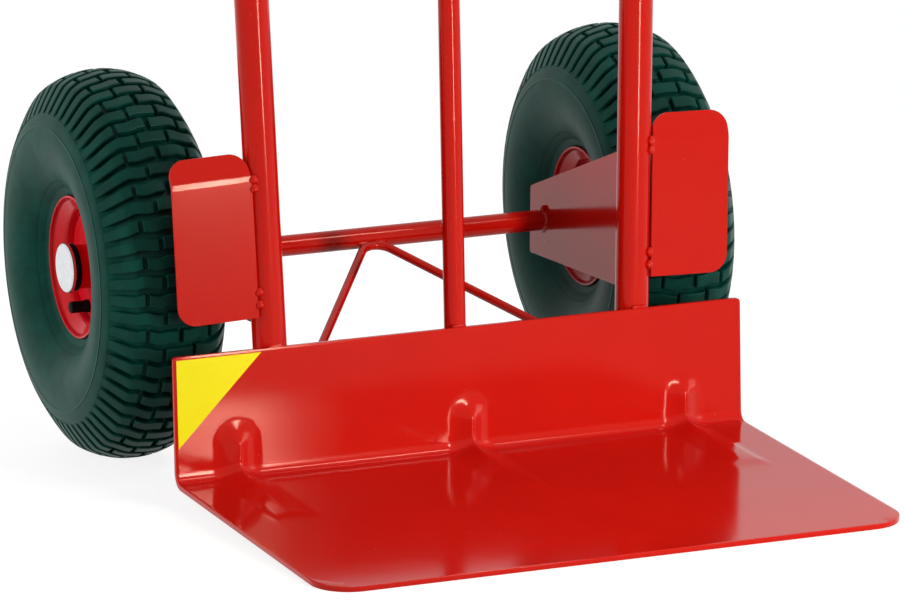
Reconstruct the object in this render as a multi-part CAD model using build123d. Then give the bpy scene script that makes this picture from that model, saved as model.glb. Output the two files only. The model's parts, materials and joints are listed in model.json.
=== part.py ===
from build123d import *
import os
from math import asin, atan, cos, radians, sin, sqrt, tan

# A welded tube sack truck on two pneumatic wheels. All sizes are in mm.
# X runs across the truck, Y towards its back and Z up from the floor.
# Y is counted from the front face of the toe plate's flange, and every
# shape is moved to the middle of the footprint when it is written.

# Toe plate: one bent sheet whose front edge lies on the floor
toe_width = 480.0
toe_depth = 309.0
toe_sheet = 4.0
toe_corner_radius = 31.0
flange_top = 117.6
flange_corner_radius = 3.0
bend_height = 15.0
bend_radius = 5.0

# Pressed ribs across the bend of the toe plate
rib_spacing = 189.5
centre_rib_offset = 6.0
rib_rise = 8.0
rib_half_width = 12.0
rib_up = 40.0
rib_out = 112.0
rib_run_on = 18.0

# Outer uprights, which lean apart upwards and bend back into handles
upright_diameter = 26.9
upright_wall = 2.6
upright_half_spacing = 153.7
upright_lean = 1.72
tube_foot_gap = 11.0
handle_corner = 1035.0
handle_bend_radius = 120.0
handle_angle = 60.0
handle_length = 170.0

# Centre upright and cross tubes, flush with the uprights at the front
slim_diameter = 17.2
slim_wall = 2.3
middle_cross_height = 520.0
top_cross_drop = 66.0

# Hand grips
grip_length = 118.0
grip_diameter = 34.0
grip_collar_diameter = 42.0
grip_collar = 6.0
grip_end = 4.0
grip_plain = 8.0
grip_edge = 4.0
grip_waves = 4
grip_wave_depth = 1.8

# Axle and its brackets, whose corners are placed from the axle
axle_diameter = 17.0
axle_tip = 2.3
axle_chamfer = 1.0
bracket_thickness = 5.0
bracket_overhang = 25.3
bracket_back_drop = 31.2
bracket_back_rise = 24.0
bracket_front_drop = 26.3
bracket_front_rise = 85.6
bracket_corner_radius = 3.0

# Bent-rod brace from the axle down to the back of the flange
brace_diameter = 7.0
brace_gap = 2.7
brace_foot = 74.8

# Wheel guards, welded to the outer front of each upright
guard_thickness = 3.0
guard_setback = 2.4
guard_gap = 1.5
guard_width = 66.0
guard_drop = 14.0
guard_fold_rise = 97.0
guard_fold_radius = 16.0
guard_fold_angle = 25.0
guard_top_length = 20.0
guard_corner_radius = 15.0

# Wheels
wheel_radius = 155.0
wheel_clearance = 4.8
wheel_gap = 9.1
tyre_half_width = 52.0
tyre_ridge_half_width = 49.0
tyre_ridge_radius = 123.0
tyre_widest_radius = 98.0
tyre_foot_rise = 5.6
tread_bars = 72
tread_bands = 4
tread_groove = 3.4
tread_slant = 18.0
tread_middle = 8.0

# Rim: a barrel of bent sheet with two discs and a hub tube
rim_sheet = 2.0
rim_lip_half_width = 33.9
rim_lip_radius = 57.4
rim_seat_half_width = 29.5
rim_seat_radius = 51.5
rim_seat_length = 7.5
rim_seat_taper = 1.5
rim_well_half_width = 18.4
rim_well_radius = 44.7
disc_thickness = 2.0
disc_setback = 0.8
hub_diameter = 35.0
hub_bore = 30.0
hub_inner_end = 37.0
hub_outer_end = 37.2
bearing_length = 14.0
bearing_recess = 5.6
hub_cap_diameter = 40.0
hub_cap_gap = 1.5
hub_cap_depth = 7.6
hub_cap_sheet = 1.5
hub_cap_edge = 1.2
valve_inset = 8.2
valve_angle = 17.5
valve_bend_depth = 12.0
valve_stem_diameter = 8.6
valve_base_diameter = 10.5
valve_base_length = 7.0
valve_cap_diameter = 9.4
valve_cap_length = 10.0
valve_reach = 16.0

# Pieces on the axle beside each hub
spacer_diameter = 25.0
washer_thickness = 1.8
inner_washer_diameter = 34.0
outer_washer_diameter = 28.6
circlip_thickness = 1.0
circlip_diameter = 23.0
circlip_mouth = 5.0
circlip_groove = 0.7

# Corner sticker on the flange
sticker_leg = 70.0
sticker_margin = 2.4
sticker_thickness = 0.25

# Clearances
running_clearance = 0.06
fixed_clearance = 0.1
side_clearance = 0.3

# Weld beads
weld_radius = 3.4
guard_weld_length = 17.0
flange_weld_length = 9.0
apex_weld_length = 8.0
axle_weld = 4.0
foot_weld = 2.5

# Values that follow from the ones above
upright_radius = upright_diameter / 2
upright_y = toe_sheet + upright_radius
upright_back = upright_y + upright_radius
slim_radius = slim_diameter / 2
slim_y = toe_sheet + slim_radius
tube_bottom = bend_height + tube_foot_gap
lean_slope = tan(radians(upright_lean))
handle_bend_reach = handle_bend_radius * tan(radians(handle_angle / 2))
top_cross_height = handle_corner - handle_bend_reach - top_cross_drop
axle_radius = axle_diameter / 2
axle_y = upright_back + wheel_clearance + wheel_radius
axle_z = wheel_radius
plate_slope = atan(bend_height / (toe_depth + toe_sheet))
plate_front = -toe_depth - toe_sheet * sin(plate_slope)
rib_radius = (rib_half_width**2 + rib_rise**2) / (2 * rib_rise)
rib_places = (-rib_spacing, centre_rib_offset, rib_spacing)
bend_inside = bend_height - toe_sheet * tan(plate_slope) + toe_sheet / cos(plate_slope)
footprint_middle = (axle_y + wheel_radius + plate_front) / 2
bracket_middle = upright_half_spacing + lean_slope * (axle_z - flange_top)
bracket_outside = bracket_middle + bracket_thickness / 2
wheel_centre = bracket_outside + wheel_gap + tyre_half_width
outer_bearing_face = hub_outer_end - bearing_recess
outer_washer_face = wheel_centre + outer_bearing_face + side_clearance
circlip_start = outer_washer_face + washer_thickness + side_clearance
circlip_end = circlip_start + circlip_thickness
axle_half_length = circlip_end + axle_tip
inner_washer_face = wheel_centre - hub_inner_end - side_clearance
spacer_start = bracket_outside + lean_slope * spacer_diameter / 2 + fixed_clearance
brace_radius = brace_diameter / 2
brace_half_spread = upright_half_spacing - upright_radius - brace_radius - brace_gap
guard_front = toe_sheet + guard_setback
guard_back = guard_front + guard_thickness
guard_inner = sqrt((upright_radius + guard_gap) ** 2 - (upright_y - guard_back) ** 2)
guard_bottom = axle_z - guard_drop
guard_fold = axle_z + guard_fold_rise
disc_outer_face = rim_well_half_width - disc_setback
well_inside = rim_well_radius - rim_sheet / 2
valve_ring_radius = rim_well_radius - valve_inset
valve_tip = disc_outer_face + valve_reach
hub_cap_face = hub_outer_end + hub_cap_gap + hub_cap_sheet


def write(node, shape):
    """Move a shape to the middle of the footprint and write it."""
    export_step(Pos(0, -footprint_middle, 0) * shape, f"parts/{node}.step")


def write_pair(name, right_shape):
    """Write a right-hand piece and its mirror image on the left."""
    write(f"right_{name}", right_shape)
    write(f"left_{name}", mirror(right_shape, Plane.YZ))


def leaned(shape):
    """Take a piece made on an upright tube at X = 0 to the right upright."""
    to_top = Pos(0, 0, -flange_top)
    return Pos(upright_half_spacing, 0, flange_top) * Rot(0, upright_lean, 0) * to_top * shape


def group(shapes):
    """Keep separate solids together as one node."""
    return Compound([solid for shape in shapes for solid in shape.solids()])


def both_sides(right_shapes):
    """A list of right-hand pieces and their mirror images."""
    return right_shapes + [mirror(shape, Plane.YZ) for shape in right_shapes]


def bead_between(start, end, radius=weld_radius):
    """A round bar that becomes a weld bead once the pieces it joins are cut away."""
    line = Vector(*end) - Vector(*start)
    middle = (Vector(*start) + Vector(*end)) / 2
    return Plane(origin=middle, z_dir=line) * Cylinder(radius, line.length)


def rib_finger(rib_x, radius):
    """A round-topped bar that stands in the flange and rises from its face."""
    top = bend_inside + rib_up - rib_half_width
    bar = Pos(0, 0, top - rib_up) * Cylinder(radius, 2 * rib_up) + Pos(0, 0, top) * Sphere(radius)
    return Pos(rib_x, rib_radius - rib_rise, 0) * bar


def rib_dart(rib_x, radius):
    """A bar along the plate whose crest falls from the bend until the plate hides it."""
    start = Vector(rib_x, 0, bend_inside + rib_rise)
    end = Vector(rib_x, -rib_out, bend_inside - rib_out * tan(plate_slope))
    run = (end - start).normalized()
    below = run.cross(Vector(1, 0, 0)) * rib_radius
    first = start - below - run * rib_run_on
    last = end - below + run * rib_run_on
    return Plane(origin=(first + last) / 2, z_dir=run) * Cylinder(radius, (last - first).length)


def make_toe_plate():
    front_top = (plate_front, toe_sheet * cos(plate_slope))
    outline = Polyline(
        (0, flange_top),
        (0, bend_inside),
        front_top,
        (-toe_depth, 0),
        (toe_sheet, bend_height),
        (toe_sheet, flange_top),
        close=True,
    )
    plate = extrude(make_face(Plane.YZ * outline), toe_width / 2, both=True)
    inside = plate.edges().sort_by_distance((0, 0, bend_inside))[0]
    plate = fillet(inside, bend_radius)
    outside = plate.edges().sort_by_distance((0, toe_sheet, bend_height))[0]
    plate = fillet(outside, bend_radius + toe_sheet)
    front = (-toe_depth, toe_sheet / 2)
    corners = [plate.edges().sort_by_distance((side * toe_width / 2, *front))[0] for side in (-1, 1)]
    plate = fillet(corners, toe_corner_radius)
    top = (toe_sheet / 2, flange_top)
    corners = [plate.edges().sort_by_distance((side * toe_width / 2, *top))[0] for side in (-1, 1)]
    plate = fillet(corners, flange_corner_radius)

    # Each rib is a finger on the flange that runs out along the plate as a dart
    room = Polyline(
        (toe_sheet / 2, bend_height + toe_sheet / 2),
        (-toe_depth / 2, bend_height + toe_sheet / 2 - toe_depth / 2 * tan(plate_slope)),
        (-toe_depth / 2, flange_top),
        (toe_sheet / 2, flange_top),
        close=True,
    )
    room = extrude(make_face(Plane.YZ * room), toe_width / 2, both=True)
    for rib_x in rib_places:
        for bar in (rib_finger, rib_dart):
            plate += bar(rib_x, rib_radius) & room
    for rib_x in rib_places:
        for bar in (rib_finger, rib_dart):
            plate -= bar(rib_x, rib_radius - toe_sheet)
    return plate


def handle_path():
    """Middle line of an upright on the leaning plane, from foot to handle end."""
    reach = handle_length + handle_bend_reach
    handle_end = (
        upright_y + reach * sin(radians(handle_angle)),
        handle_corner + reach * cos(radians(handle_angle)),
    )
    points = ((upright_y, tube_bottom), (upright_y, handle_corner), handle_end)
    return Plane.YZ * FilletPolyline(*points, radius=handle_bend_radius)


def make_upright(solid=False):
    path = handle_path()
    section = Circle(upright_radius)
    if not solid:
        section -= Circle(upright_radius - upright_wall)
    start = Plane(origin=path @ 0, z_dir=path % 0)
    return sweep(start * section, path)


def slim_tube(start, end, solid=False):
    """A straight piece of the slim tube."""
    line = Vector(*end) - Vector(*start)
    section = Circle(slim_radius)
    if not solid:
        section -= Circle(slim_radius - slim_wall)
    return extrude(Plane(origin=start, z_dir=line) * section, line.length)


def make_grip():
    """A grip along Z, with its mouth at Z = 0 and dips for the fingers."""
    radius = grip_diameter / 2
    bore = upright_radius + fixed_clearance
    first_wave = grip_collar + grip_plain
    wave = (grip_length - grip_end - grip_plain - first_wave) / grip_waves
    points = [
        (bore, 0),
        (grip_collar_diameter / 2, 0),
        (grip_collar_diameter / 2, grip_collar),
        (radius, grip_collar + grip_plain / 2),
        (radius, first_wave),
    ]
    for index in range(grip_waves):
        low = first_wave + index * wave
        points.append((radius - grip_wave_depth, low + wave / 2))
        points.append((radius, low + wave))
    points += [
        (radius, grip_length - grip_edge),
        (radius - grip_edge, grip_length),
        (0, grip_length),
        (0, grip_length - grip_end),
        (bore, grip_length - grip_end),
    ]
    return revolve(Plane.XZ * make_face(Polyline(*points, close=True)), Axis.Z)


def make_axle():
    axle = rod_along_x(axle_diameter, -axle_half_length, axle_half_length)
    axle = chamfer(axle.edges().filter_by(GeomType.CIRCLE), axle_chamfer)
    start = circlip_start - fixed_clearance
    end = circlip_end + fixed_clearance
    groove = ring_along_x(axle_diameter, axle_radius - circlip_groove, start, end)
    axle = axle - groove - mirror(groove, Plane.YZ)
    return Pos(0, axle_y, axle_z) * axle


def make_bracket():
    back = axle_y + bracket_overhang
    depth = back - upright_back
    top = axle_z + bracket_back_rise
    bottom = axle_z - bracket_back_drop
    top_slope = (bracket_front_rise - bracket_back_rise) / depth
    bottom_slope = (bracket_back_drop - bracket_front_drop) / depth
    outline = Polyline(
        (upright_y, bottom + bottom_slope * (back - upright_y)),
        (back, bottom),
        (back, top),
        (upright_y, top + top_slope * (back - upright_y)),
        close=True,
    )
    bracket = extrude(make_face(Plane.YZ * outline), bracket_thickness / 2, both=True)
    corners = [bracket.edges().sort_by_distance((0, back, height))[0] for height in (bottom, top)]
    bracket = fillet(corners, bracket_corner_radius)
    bracket -= make_upright(solid=True)
    hole = Rot(0, 90, 0) * Cylinder(axle_radius + fixed_clearance, 10 * bracket_thickness)
    return leaned(bracket) - Pos(bracket_middle, axle_y, axle_z) * hole


def ahead_of_flange_back():
    """The space in front of the flange's back face, for trimming what stands on that face."""
    size = (2 * toe_width, toe_depth, 2 * flange_top)
    return Pos(0, toe_sheet - toe_depth / 2, brace_foot) * Box(*size)


def make_brace():
    foot = Vector(brace_half_spread, toe_sheet + brace_radius, brace_foot)
    top = Vector(0, axle_y, axle_z)
    leg = foot - top
    half_angle = asin(brace_half_spread / leg.length)
    bend = (axle_radius + brace_radius) / (1 / sin(half_angle) - 1)
    down = Vector(0, leg.Y, leg.Z)
    plane = Plane(origin=top, x_dir=(1, 0, 0), z_dir=Vector(1, 0, 0).cross(down))
    past = 1.05
    ends = [(side * brace_half_spread * past, down.length * past) for side in (-1, 1)]
    path = plane * FilletPolyline(ends[0], (0, 0), ends[1], radius=bend)
    rod = sweep(Plane(origin=path @ 0, z_dir=path % 0) * Circle(brace_radius), path)
    return rod - ahead_of_flange_back()


def make_guard():
    """The right guard, on an upright at X = 0, with its inner edge cut to clear the tube."""
    middle = guard_front + guard_thickness / 2
    outer = guard_inner + guard_width
    turn = radians(guard_fold_angle)
    top = (middle + guard_top_length * sin(turn), guard_fold + guard_top_length * cos(turn))
    path = FilletPolyline((middle, guard_bottom), (middle, guard_fold), top, radius=guard_fold_radius)
    profile = Plane.YZ * trace(path, guard_thickness)
    guard = Pos(guard_inner, 0, 0) * extrude(profile, guard_width)
    places = ((outer, middle, guard_bottom), (outer, *top), (guard_inner, *top))
    corners = [guard.edges().sort_by_distance(place)[0] for place in places]
    guard = fillet(corners, guard_corner_radius)
    tube = Pos(0, upright_y, guard_fold) * Cylinder(upright_radius + guard_gap, 4 * guard_fold_rise)
    return guard - tube


def rod_along_x(diameter, start, end):
    """A plain rod on the X axis between two places."""
    return Pos((start + end) / 2, 0, 0) * Rot(0, 90, 0) * Cylinder(diameter / 2, end - start)


def ring_along_x(outer_radius, inner_radius, start, end):
    """A plain ring on the X axis between two places."""
    ring = Cylinder(outer_radius, end - start) - Cylinder(inner_radius, end - start)
    return Pos((start + end) / 2, 0, 0) * Rot(0, 90, 0) * ring


def rim_line():
    """Half of the rim's bent sheet: lip, both ends of the bead seat, and the well."""
    return [
        (rim_lip_half_width, rim_lip_radius),
        (rim_seat_half_width, rim_seat_radius),
        (rim_seat_half_width - rim_seat_length, rim_seat_radius - rim_seat_taper),
        (rim_well_half_width, rim_well_radius),
        (0, rim_well_radius),
    ]


def make_barrel():
    half = trace(Polyline(*rim_line()), rim_sheet)
    barrel = revolve(half, Axis.X)
    return barrel + mirror(barrel, Plane.YZ)


def tread_line():
    """Points across half of the tread, from its middle to the ridge on the shoulder."""
    drop = wheel_radius - tyre_ridge_radius
    radius = (tyre_ridge_half_width**2 + drop**2) / (2 * drop)
    turn = asin(tyre_ridge_half_width / radius)
    steps = [turn * index / tread_bands for index in range(tread_bands + 1)]
    return [(radius * sin(step), wheel_radius - radius * (1 - cos(step))) for step in steps]


def make_tyre(barrel):
    tread = tread_line()
    ridge = tread[-1]
    foot = (rim_lip_half_width, rim_lip_radius + tyre_foot_rise)
    section = Polyline(*tread)
    section += ThreePointArc(ridge, (tyre_half_width, tyre_widest_radius), foot)

    # The foot sits on the rim, and the closed air space between them is left filled
    section += Polyline(foot, *rim_line(), (0, wheel_radius))
    half = revolve(make_face(section), Axis.X)
    tyre = half + mirror(half, Plane.YZ)

    # Slanting grooves run from the middle of the tread to the ridge on each shoulder
    start = (tread_middle, wheel_radius)
    end = (ridge[0] / cos(radians(tread_slant)), ridge[1])
    above = wheel_radius + tyre_half_width
    beyond = end[0] + tyre_half_width
    groove = Polyline(start, end, (beyond, end[1]), (beyond, above), (start[0], above), close=True)
    groove = extrude(make_face(Plane.XZ * groove), tread_groove / 2, both=True)
    groove = Rot(0, 0, tread_slant) * groove
    step = 360 / tread_bars
    grooves = [Rot(step * index, 0, side) * groove for index in range(tread_bars) for side in (0, 180)]
    return tyre - grooves - barrel


def make_disc(with_valve_hole):
    disc = ring_along_x(
        well_inside - fixed_clearance,
        hub_diameter / 2 + fixed_clearance,
        disc_outer_face - disc_thickness,
        disc_outer_face,
    )
    if with_valve_hole:
        disc -= at_valve(rod_along_x(valve_base_diameter + 2 * fixed_clearance, 0, 2 * disc_outer_face))
    return disc


def at_valve(shape):
    """Take a piece made on the X axis to the valve's place on the outer side of the wheel."""
    return Rot(valve_angle, 0, 0) * Pos(0, 0, -valve_ring_radius) * shape


def make_valve(barrel):
    """An angled valve: from the well of the rim through the outer disc and out along the axle."""
    bend_x = disc_outer_face - valve_bend_depth
    stem = rod_along_x(valve_stem_diameter, bend_x - valve_stem_diameter / 2, valve_tip - valve_cap_length)
    leg = Pos(bend_x, 0, -valve_inset / 2) * Cylinder(valve_stem_diameter / 2, valve_inset)
    base_start = disc_outer_face - valve_base_length / 2
    base = rod_along_x(valve_base_diameter, base_start, base_start + valve_base_length)
    return at_valve(stem + leg + base) - barrel


def make_hub_cap():
    start = hub_cap_face - hub_cap_depth
    cap = rod_along_x(hub_cap_diameter, start, hub_cap_face)
    cap = chamfer(cap.faces().sort_by(Axis.X)[-1].edges(), hub_cap_edge)
    return cap - rod_along_x(hub_diameter + 2 * fixed_clearance, start, hub_cap_face - hub_cap_sheet)


def make_sticker():
    """A plain triangle in the upper left corner of the flange's front."""
    left = sticker_margin - toe_width / 2
    top = flange_top - sticker_margin
    outline = Polyline((left, top), (left + sticker_leg, top), (left, top - sticker_leg), close=True)
    return extrude(Plane.XZ * make_face(outline), sticker_thickness)


def make_guard_welds():
    """Two short beads between the inner edge of the right guard and its upright."""
    tube = make_upright(solid=True)
    guard = make_guard()
    x = guard_inner - guard_gap / 2
    beads = []
    for low in (guard_bottom + weld_radius, guard_fold - guard_weld_length - weld_radius):
        bead = bead_between((x, guard_front, low), (x, guard_front, low + guard_weld_length))
        beads.append(leaned(bead - guard - tube))
    return beads


def make_flange_weld(tube_x, tube, toe_plate):
    """A bead on the top edge of the flange, in front of one tube."""
    half = flange_weld_length / 2
    bead = bead_between((tube_x - half, toe_sheet, flange_top), (tube_x + half, toe_sheet, flange_top))
    return bead - toe_plate - tube


def make_seam(tube_radius, tube):
    """Beads down both sides of a tube at X = 0 against the back of the flange."""
    low = bend_inside + bend_radius + rib_rise
    high = flange_top - 2 * weld_radius
    x = sqrt(tube_radius**2 - (tube_radius - weld_radius / 2) ** 2)
    beads = []
    for side in (-1, 1):
        bead = bead_between((side * x, toe_sheet, low), (side * x, toe_sheet, high))
        beads.append(bead - tube - ahead_of_flange_back())
    return beads


def make_bracket_welds(bracket):
    """Beads down both faces of the right bracket where it meets the upright."""
    tube = make_upright(solid=True)
    low = axle_z - bracket_front_drop + 2 * weld_radius
    high = axle_z + bracket_front_rise - 2 * weld_radius
    beads = []
    for side in (-1, 1):
        x = side * bracket_thickness / 2
        bead = bead_between((x, upright_back, low), (x, upright_back, high))
        beads.append(leaned(bead - tube) - bracket)
    return beads


def make_axle_weld(axle, bracket):
    """A ring of weld round the axle on the inner face of the right bracket."""
    height = axle_weld + bracket_thickness / 2
    ring = Pos(-height / 2, 0, 0) * Rot(0, -90, 0) * Cone(axle_radius + height, axle_radius, height)
    ring = Pos(bracket_middle, axle_y, axle_z) * ring - axle - bracket
    return ring.solids().sort_by(Axis.X)[0]


def make_brace_welds(brace, axle):
    """Beads at the right foot of the brace and right of its bend on the axle."""
    ring = Rot(90, 0, 0) * Cone(brace_radius, brace_radius + foot_weld, 2 * foot_weld)
    foot = Pos(brace_half_spread, toe_sheet + foot_weld, brace_foot) * ring
    down = Vector(0, toe_sheet + brace_radius - axle_y, brace_foot - axle_z).normalized()
    touch = Vector(0, axle_y, axle_z) + down * axle_radius
    start = touch + Vector(brace_radius, 0, 0)
    end = start + Vector(apex_weld_length, 0, 0)
    apex = bead_between(tuple(start), tuple(end))
    return [foot - brace, apex - axle - brace]


os.makedirs("parts", exist_ok=True)

# Frame
toe_plate = make_toe_plate()
upright_tube = make_upright(solid=True)
right_core = leaned(upright_tube)
left_core = mirror(right_core, Plane.YZ)
beyond = 2 * upright_half_spacing
top_line = ((-beyond, slim_y, top_cross_height), (beyond, slim_y, top_cross_height))
middle_line = ((0, slim_y, middle_cross_height), (beyond, slim_y, middle_cross_height))
centre_line = ((0, slim_y, tube_bottom), (0, slim_y, top_cross_height))
centre_core = slim_tube(*centre_line, solid=True)
top_cross = slim_tube(*top_line) - right_core - left_core
middle_cross = slim_tube(*middle_line) - right_core - centre_core
axle = make_axle()
bracket = make_bracket()
brace = make_brace()
path = handle_path()
grip_start = Plane(origin=path @ 1, z_dir=path % 1).offset(grip_end - grip_length)

write("toe_plate", toe_plate)
write_pair("upright", leaned(make_upright()))
write("centre_upright", slim_tube(*centre_line) - slim_tube(*top_line, solid=True))
write("top_cross_tube", top_cross.solids().sort_by_distance((0, slim_y, top_cross_height))[0])
write_pair("middle_cross_tube", middle_cross.solids().sort_by_distance((0, slim_y, middle_cross_height))[0])
write("axle", axle)
write_pair("axle_bracket", bracket)
write("v_brace", brace)
write_pair("wheel_guard", leaned(make_guard()))
write_pair("hand_grip", leaned(grip_start * make_grip()))
write("corner_sticker", make_sticker())

# Weld beads, each with the pieces it joins cut away
upright_seams = [leaned(bead) for bead in make_seam(upright_radius, upright_tube)]
flange_welds = [
    make_flange_weld(0, centre_core, toe_plate),
    make_flange_weld(upright_half_spacing, right_core, toe_plate),
    make_flange_weld(-upright_half_spacing, left_core, toe_plate),
]
write("guard_welds", group(both_sides(make_guard_welds())))
write("flange_welds", group(flange_welds))
write("upright_welds", group(both_sides(upright_seams) + make_seam(slim_radius, centre_core)))
write("bracket_welds", group(both_sides(make_bracket_welds(bracket))))
write("axle_welds", group(both_sides([make_axle_weld(axle, bracket)])))
write("brace_welds", group(both_sides(make_brace_welds(brace, axle))))

# Pieces on the axle
on_axle = Pos(0, axle_y, axle_z)
bore = axle_radius + fixed_clearance
inner_washer_start = inner_washer_face - washer_thickness
spacer = ring_along_x(spacer_diameter / 2, bore, spacer_start, inner_washer_start)
inner_washer = ring_along_x(inner_washer_diameter / 2, bore, inner_washer_start, inner_washer_face)
outer_washer_end = outer_washer_face + washer_thickness
outer_washer = ring_along_x(outer_washer_diameter / 2, bore, outer_washer_face, outer_washer_end)
circlip = ring_along_x(circlip_diameter / 2, bore - circlip_groove, circlip_start, circlip_end)
mouth = Box(4 * circlip_thickness, circlip_mouth, circlip_diameter)
circlip -= Pos(circlip_start, 0, -circlip_diameter / 2) * mouth
write("axle_spacers", group(both_sides([on_axle * spacer])))
write("inner_washers", group(both_sides([on_axle * inner_washer])))
write("outer_washers", group(both_sides([on_axle * outer_washer])))
write("circlips", group(both_sides([on_axle * circlip])))

# Wheels, made round the origin with +X on the outer side
barrel = make_barrel()
shaft_hole = axle_radius + running_clearance
bearing_radius = hub_bore / 2 - fixed_clearance
inner_bearing = ring_along_x(bearing_radius, shaft_hole, -hub_inner_end, bearing_length - hub_inner_end)
outer_bearing_start = outer_bearing_face - bearing_length
outer_bearing = ring_along_x(bearing_radius, shaft_hole, outer_bearing_start, outer_bearing_face)
valve_cap = at_valve(rod_along_x(valve_cap_diameter, valve_tip - valve_cap_length, valve_tip))
wheel_pieces = {
    "rim_barrel": barrel,
    "outer_disc": make_disc(with_valve_hole=True),
    "inner_disc": mirror(make_disc(with_valve_hole=False), Plane.YZ),
    "hub_tube": ring_along_x(hub_diameter / 2, hub_bore / 2, -hub_inner_end, hub_outer_end),
    "bearings": group([inner_bearing, outer_bearing]),
    "hub_cap": make_hub_cap(),
    "valve_stem": make_valve(barrel),
    "valve_cap": valve_cap,
}
for name, piece in wheel_pieces.items():
    write_pair(name, Pos(wheel_centre, axle_y, axle_z) * piece)

# Both tyres slant the same way, so the left one is moved and not mirrored
tyre = make_tyre(barrel)
write("right_tyre", Pos(wheel_centre, axle_y, axle_z) * tyre)
write("left_tyre", Pos(-wheel_centre, axle_y, axle_z) * tyre)
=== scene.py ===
import json
from math import acos, atan, cos, pi, radians, sin, sqrt, tan

import bmesh
import bpy
from mathutils import Matrix, Vector


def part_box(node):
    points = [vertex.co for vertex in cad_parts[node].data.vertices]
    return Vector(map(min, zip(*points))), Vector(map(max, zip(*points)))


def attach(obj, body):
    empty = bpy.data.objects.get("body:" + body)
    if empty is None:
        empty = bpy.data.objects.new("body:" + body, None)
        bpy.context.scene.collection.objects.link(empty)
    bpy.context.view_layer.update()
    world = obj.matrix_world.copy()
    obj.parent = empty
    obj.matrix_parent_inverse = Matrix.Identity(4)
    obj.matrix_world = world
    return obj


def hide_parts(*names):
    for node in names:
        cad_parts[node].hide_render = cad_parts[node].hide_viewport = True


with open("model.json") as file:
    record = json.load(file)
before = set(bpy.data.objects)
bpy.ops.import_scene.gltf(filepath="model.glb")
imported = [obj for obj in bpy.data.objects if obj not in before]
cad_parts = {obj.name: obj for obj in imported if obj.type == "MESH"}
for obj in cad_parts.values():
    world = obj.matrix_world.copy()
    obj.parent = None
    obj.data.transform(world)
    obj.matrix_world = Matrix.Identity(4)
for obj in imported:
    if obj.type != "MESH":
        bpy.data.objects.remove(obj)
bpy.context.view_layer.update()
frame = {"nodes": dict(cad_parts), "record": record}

# A welded tube sack truck. Sizes are in millimetres and pieces are modelled in
# millimetres, then scaled to metres when they are finished.
metre = 1000.0


def box_of(node):
    """Lowest and highest corners of a CAD node in millimetres."""
    low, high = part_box(node)
    return Vector(low) * metre, Vector(high) * metre


# Toe plate and its pressed ribs
plate_low, plate_high = box_of("toe_plate")
toe_width = plate_high.x - plate_low.x
toe_sheet = 4.0
toe_corner_radius = 31.0
toe_corner_steps = 14
flange_top = plate_high.z
flange_back = plate_high.y
flange_face = flange_back - toe_sheet
flange_corner_radius = 3.0
flange_corner_steps = 4
bend_height = 15.0
plate_slope = atan(bend_height / (flange_back - plate_low.y))
crease = bend_height + toe_sheet / cos(plate_slope) - toe_sheet * tan(plate_slope)
plate_length = (flange_face - plate_low.y) / cos(plate_slope)
outer_rib = 189.5
middle_rib = 6.0
rib_places = (-outer_rib, middle_rib, outer_rib)
rib_rise = 8.0
rib_half_width = 13.0
rib_ridge_radius = 1.2
rib_flank = atan(rib_rise / rib_half_width)
rib_up = 40.0
rib_out = 112.0
rib_tip_fall = 3.0
bend_blend = 9.0
rib_blend = 4.0
rib_hollow = 6.0
sheet_edge = 0.6
edge_margin = 2.5

# Pressing: each point of the flat sheet is met from a place out in front of the crease
press_from = 45.0
press_steps = 60
press_tolerance = 0.002
flat_tolerance = 0.001

# Spacing of the lines that cut the flat sheet, close together at the ribs and the bend
rib_reach = 34.0
bend_zone = 14.0
rib_zone_up = 58.0
rib_zone_out = 130.0
spacing_across_rib = 1.7
spacing_between_ribs = 25.0
spacing_on_flange = 10.0
spacing_up_rib = 2.0
spacing_in_bend = 1.2
spacing_along_rib = 3.0
spacing_on_plate = 16.0

# Uprights, which lean apart upwards and bend back into handles
upright_radius = 13.45
upright_wall = 2.6
upright_half_spacing = 153.7
upright_lean = radians(1.72)
upright_y = flange_back + upright_radius
upright_foot = 26.0
upright_edge = 0.5
upright_steps = 48
handle_corner = 1035.0
handle_bend_radius = 120.0
handle_bend_steps = 28
handle_angle = radians(60)
handle_length = 170.0
handle_way = Vector((0, sin(handle_angle), cos(handle_angle)))
handle_tangent = handle_bend_radius * tan(handle_angle / 2)

# Centre upright and cross tubes
slim_radius = 8.6
slim_wall = 2.3
slim_edge = 0.4
slim_steps = 40
slim_y = flange_back + slim_radius
middle_cross_height = 520.0
top_cross_height = box_of("top_cross_tube")[0].z + slim_radius

# Hand grips
grip_length = 118.0
grip_radius = 17.0
grip_collar_radius = 21.0
grip_collar = 6.0
grip_collar_edge = 1.5
grip_collar_edge_steps = 4
grip_fillet = 3.0
grip_fillet_steps = 5
grip_tip = 5.0
grip_tip_steps = 8
grip_end = 3.6
grip_fit = 0.1
grip_plain = 8.0
grip_waves = 4
grip_wave_depth = 1.8
grip_wave_steps = 8
grip_steps = 56

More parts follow.
